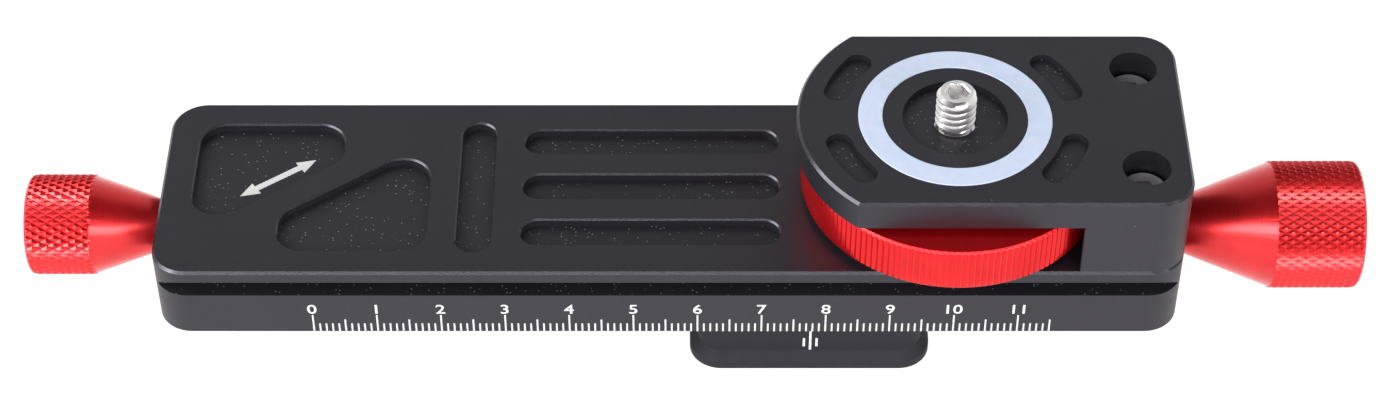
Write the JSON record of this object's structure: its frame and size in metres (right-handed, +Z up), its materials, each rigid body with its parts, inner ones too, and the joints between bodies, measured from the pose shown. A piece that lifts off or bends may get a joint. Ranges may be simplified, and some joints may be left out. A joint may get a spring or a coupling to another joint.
{
  "type": "camera slider",
  "caption": "Screw-driven macro focusing rail: a long rail slides over a tripod foot and carries a camera screw with a thumb wheel on a raised platform.",
  "frame": {"origin": "centre of the foot's bottom face, on the tripod socket's axis", "axes": "+X along the rail towards the platform end, +Z up along the camera screw, +Y to the back, away from the scale"},
  "size_m": [0.2113, 0.0472, 0.0426],
  "materials": {
    "black_anodised": "bead-blasted, black anodised",
    "red_anodised": "turned and knurled, red anodised",
    "bright_steel": "machined",
    "black_steel": "black oxide",
    "brass": "machined",
    "bronze": "sintered",
    "polymer": "turned acetal",
    "silicone": "translucent, smooth"
  },
  "bodies": {
    "foot": {"foot_plate": "black_anodised", "foot_screws": "black_steel", "foot_pins": "bright_steel", "thread_adapter": "brass", "carriage_block": "black_anodised", "guide_bushes": "polymer", "lead_nut": "brass", "nut_screws": "bright_steel"},
    "rail": {"rail_body": "black_anodised", "left_end_bush": "bronze", "right_end_bush": "bronze", "guide_rods": "bright_steel", "rod_plugs": "black_steel", "camera_platform": "black_anodised", "platform_screws": "bright_steel", "platform_pins": "bright_steel", "grip_ring": "silicone", "post_bush": "polymer"},
    "lead_screw": {"lead_screw": "bright_steel", "left_knob": "red_anodised", "right_knob": "red_anodised", "knob_set_screws": "black_steel", "thrust_washers": "polymer"},
    "thumb_wheel": {"thumb_wheel": "red_anodised", "camera_screw": "bright_steel", "wheel_set_screw": "black_steel", "upper_wheel_washer": "polymer", "lower_wheel_washer": "polymer"}
  },
  "joints": [
    {"name": "rail_slide", "type": "slide", "parent": "foot", "child": "rail", "axis": [1, 0, 0], "range_m": [-0.0372, 0.0778]},
    {"name": "screw_spin", "type": "hinge", "parent": "rail", "child": "lead_screw", "pos_m": [0, 0, 0.0135], "axis": [1, 0, 0], "range_deg": [-13392, 28008]},
    {"name": "wheel_spin", "type": "hinge", "parent": "rail", "child": "thumb_wheel", "pos_m": [0.02205, 0, 0.0272], "axis": [0, 0, 1], "continuous": true}
  ],
  "couplings": [
    {"joint": "screw_spin", "follows": "rail_slide", "rad_per_m": 6283.2}
  ]
}
